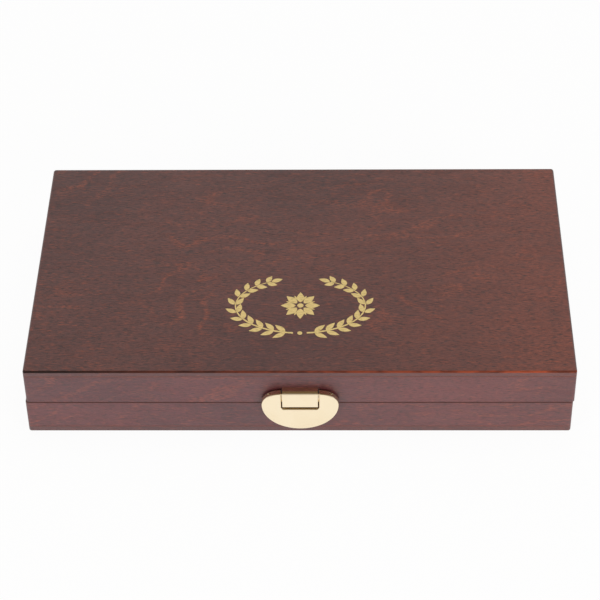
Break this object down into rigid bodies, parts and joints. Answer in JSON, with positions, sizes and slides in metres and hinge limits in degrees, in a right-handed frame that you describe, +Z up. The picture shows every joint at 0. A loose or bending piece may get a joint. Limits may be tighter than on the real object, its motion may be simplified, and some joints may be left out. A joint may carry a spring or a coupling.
{
  "type": "wooden watercolor box",
  "caption": "Flat hinged wooden watercolour box with an oval clasp, holding half pans, a mixing palette and a brush.",
  "frame": {"origin": "centre of the flat bottom face of the wooden case", "axes": "+X right seen from the front, -Y towards the front with the clasp, +Y the hinges, +Z up"},
  "size_m": [0.2404, 0.1477, 0.0364],
  "materials": {
    "stained_wood": "dark reddish brown stain under satin lacquer",
    "inner_wood": "dark stain, matt",
    "gilt_brass": "polished and lacquered, pale gold",
    "hinge_brass": "polished",
    "screw_brass": "polished, slotted heads",
    "pan_plastic": "moulded, fine satin",
    "tray_wood": "dark stain, matt",
    "porcelain": "white glaze",
    "handle_lacquer": "gloss lacquer, dark red",
    "ferrule_metal": "nickel plated, seamless",
    "hair": "fine pointed hair",
    "white_colour": "pressed watercolour, matt",
    "lemon_yellow_colour": "pressed watercolour, matt",
    "warm_yellow_colour": "pressed watercolour, matt",
    "orange_colour": "pressed watercolour, matt",
    "vermilion_colour": "pressed watercolour, matt",
    "scarlet_colour": "pressed watercolour, matt",
    "crimson_colour": "pressed watercolour, matt",
    "rose_colour": "pressed watercolour, matt",
    "violet_colour": "pressed watercolour, matt",
    "ultramarine_colour": "pressed watercolour, matt",
    "cobalt_blue_colour": "pressed watercolour, matt",
    "sky_blue_colour": "pressed watercolour, matt",
    "turquoise_colour": "pressed watercolour, matt",
    "viridian_colour": "pressed watercolour, matt",
    "leaf_green_colour": "pressed watercolour, matt",
    "sap_green_colour": "pressed watercolour, matt",
    "olive_green_colour": "pressed watercolour, matt",
    "yellow_ochre_colour": "pressed watercolour, matt",
    "raw_sienna_colour": "pressed watercolour, matt",
    "burnt_sienna_colour": "pressed watercolour, matt",
    "umber_colour": "pressed watercolour, matt",
    "black_colour": "pressed watercolour, matt"
  },
  "bodies": {
    "base": {"base_panel": "stained_wood", "base_front_rail": "stained_wood", "base_back_rail": "stained_wood", "base_left_rail": "stained_wood", "base_right_rail": "stained_wood", "tray_divider": "inner_wood", "trough_divider": "inner_wood", "palette_divider": "inner_wood", "left_hinge_base_leaf": "hinge_brass", "right_hinge_base_leaf": "hinge_brass", "left_hinge_pin": "hinge_brass", "right_hinge_pin": "hinge_brass", "base_hinge_screws": "screw_brass", "catch_plate": "gilt_brass", "catch_nails": "gilt_brass"},
    "lid": {"lid_panel": "stained_wood", "lid_front_rail": "stained_wood", "lid_back_rail": "stained_wood", "lid_left_rail": "stained_wood", "lid_right_rail": "stained_wood", "left_hinge_lid_leaf": "hinge_brass", "right_hinge_lid_leaf": "hinge_brass", "lid_hinge_screws": "screw_brass", "clasp_bracket": "gilt_brass", "bracket_nails": "gilt_brass", "clasp_pin": "gilt_brass"},
    "flap": {"clasp_flap": "gilt_brass"},
    "tray": {"pan_tray": "tray_wood", "back_row_half_pans": "pan_plastic", "front_row_half_pans": "pan_plastic", "white_paint": "white_colour", "lemon_yellow_paint": "lemon_yellow_colour", "warm_yellow_paint": "warm_yellow_colour", "orange_paint": "orange_colour", "vermilion_paint": "vermilion_colour", "scarlet_paint": "scarlet_colour", "crimson_paint": "crimson_colour", "rose_paint": "rose_colour", "violet_paint": "violet_colour", "ultramarine_paint": "ultramarine_colour", "cobalt_blue_paint": "cobalt_blue_colour", "sky_blue_paint": "sky_blue_colour", "turquoise_paint": "turquoise_colour", "viridian_paint": "viridian_colour", "leaf_green_paint": "leaf_green_colour", "sap_green_paint": "sap_green_colour", "olive_green_paint": "olive_green_colour", "yellow_ochre_paint": "yellow_ochre_colour", "raw_sienna_paint": "raw_sienna_colour", "burnt_sienna_paint": "burnt_sienna_colour", "umber_paint": "umber_colour", "black_paint": "black_colour"},
    "palette": {"mixing_palette": "porcelain"},
    "brush": {"brush_handle": "handle_lacquer", "brush_ferrule": "ferrule_metal", "brush_tuft": "hair"}
  },
  "joints": [
    {"name": "lid_hinge", "type": "hinge", "parent": "base", "child": "lid", "pos_m": [0, 0.0719, 0.01775], "axis": [-1, 0, 0], "range_deg": [0, 95]},
    {"name": "flap_hinge", "type": "hinge", "parent": "lid", "child": "flap", "pos_m": [0, -0.0721, 0.0248], "axis": [-1, 0, 0], "range_deg": [0, 95]},
    {"name": "tray_lift", "type": "slide", "parent": "base", "child": "tray", "axis": [0, 0, 1], "range_m": [0, 0.015]},
    {"name": "palette_lift", "type": "slide", "parent": "base", "child": "palette", "axis": [0, 0, 1], "range_m": [0, 0.016]},
    {"name": "brush_lift", "type": "slide", "parent": "base", "child": "brush", "axis": [0, 0, 1], "range_m": [0, 0.018]}
  ]
}
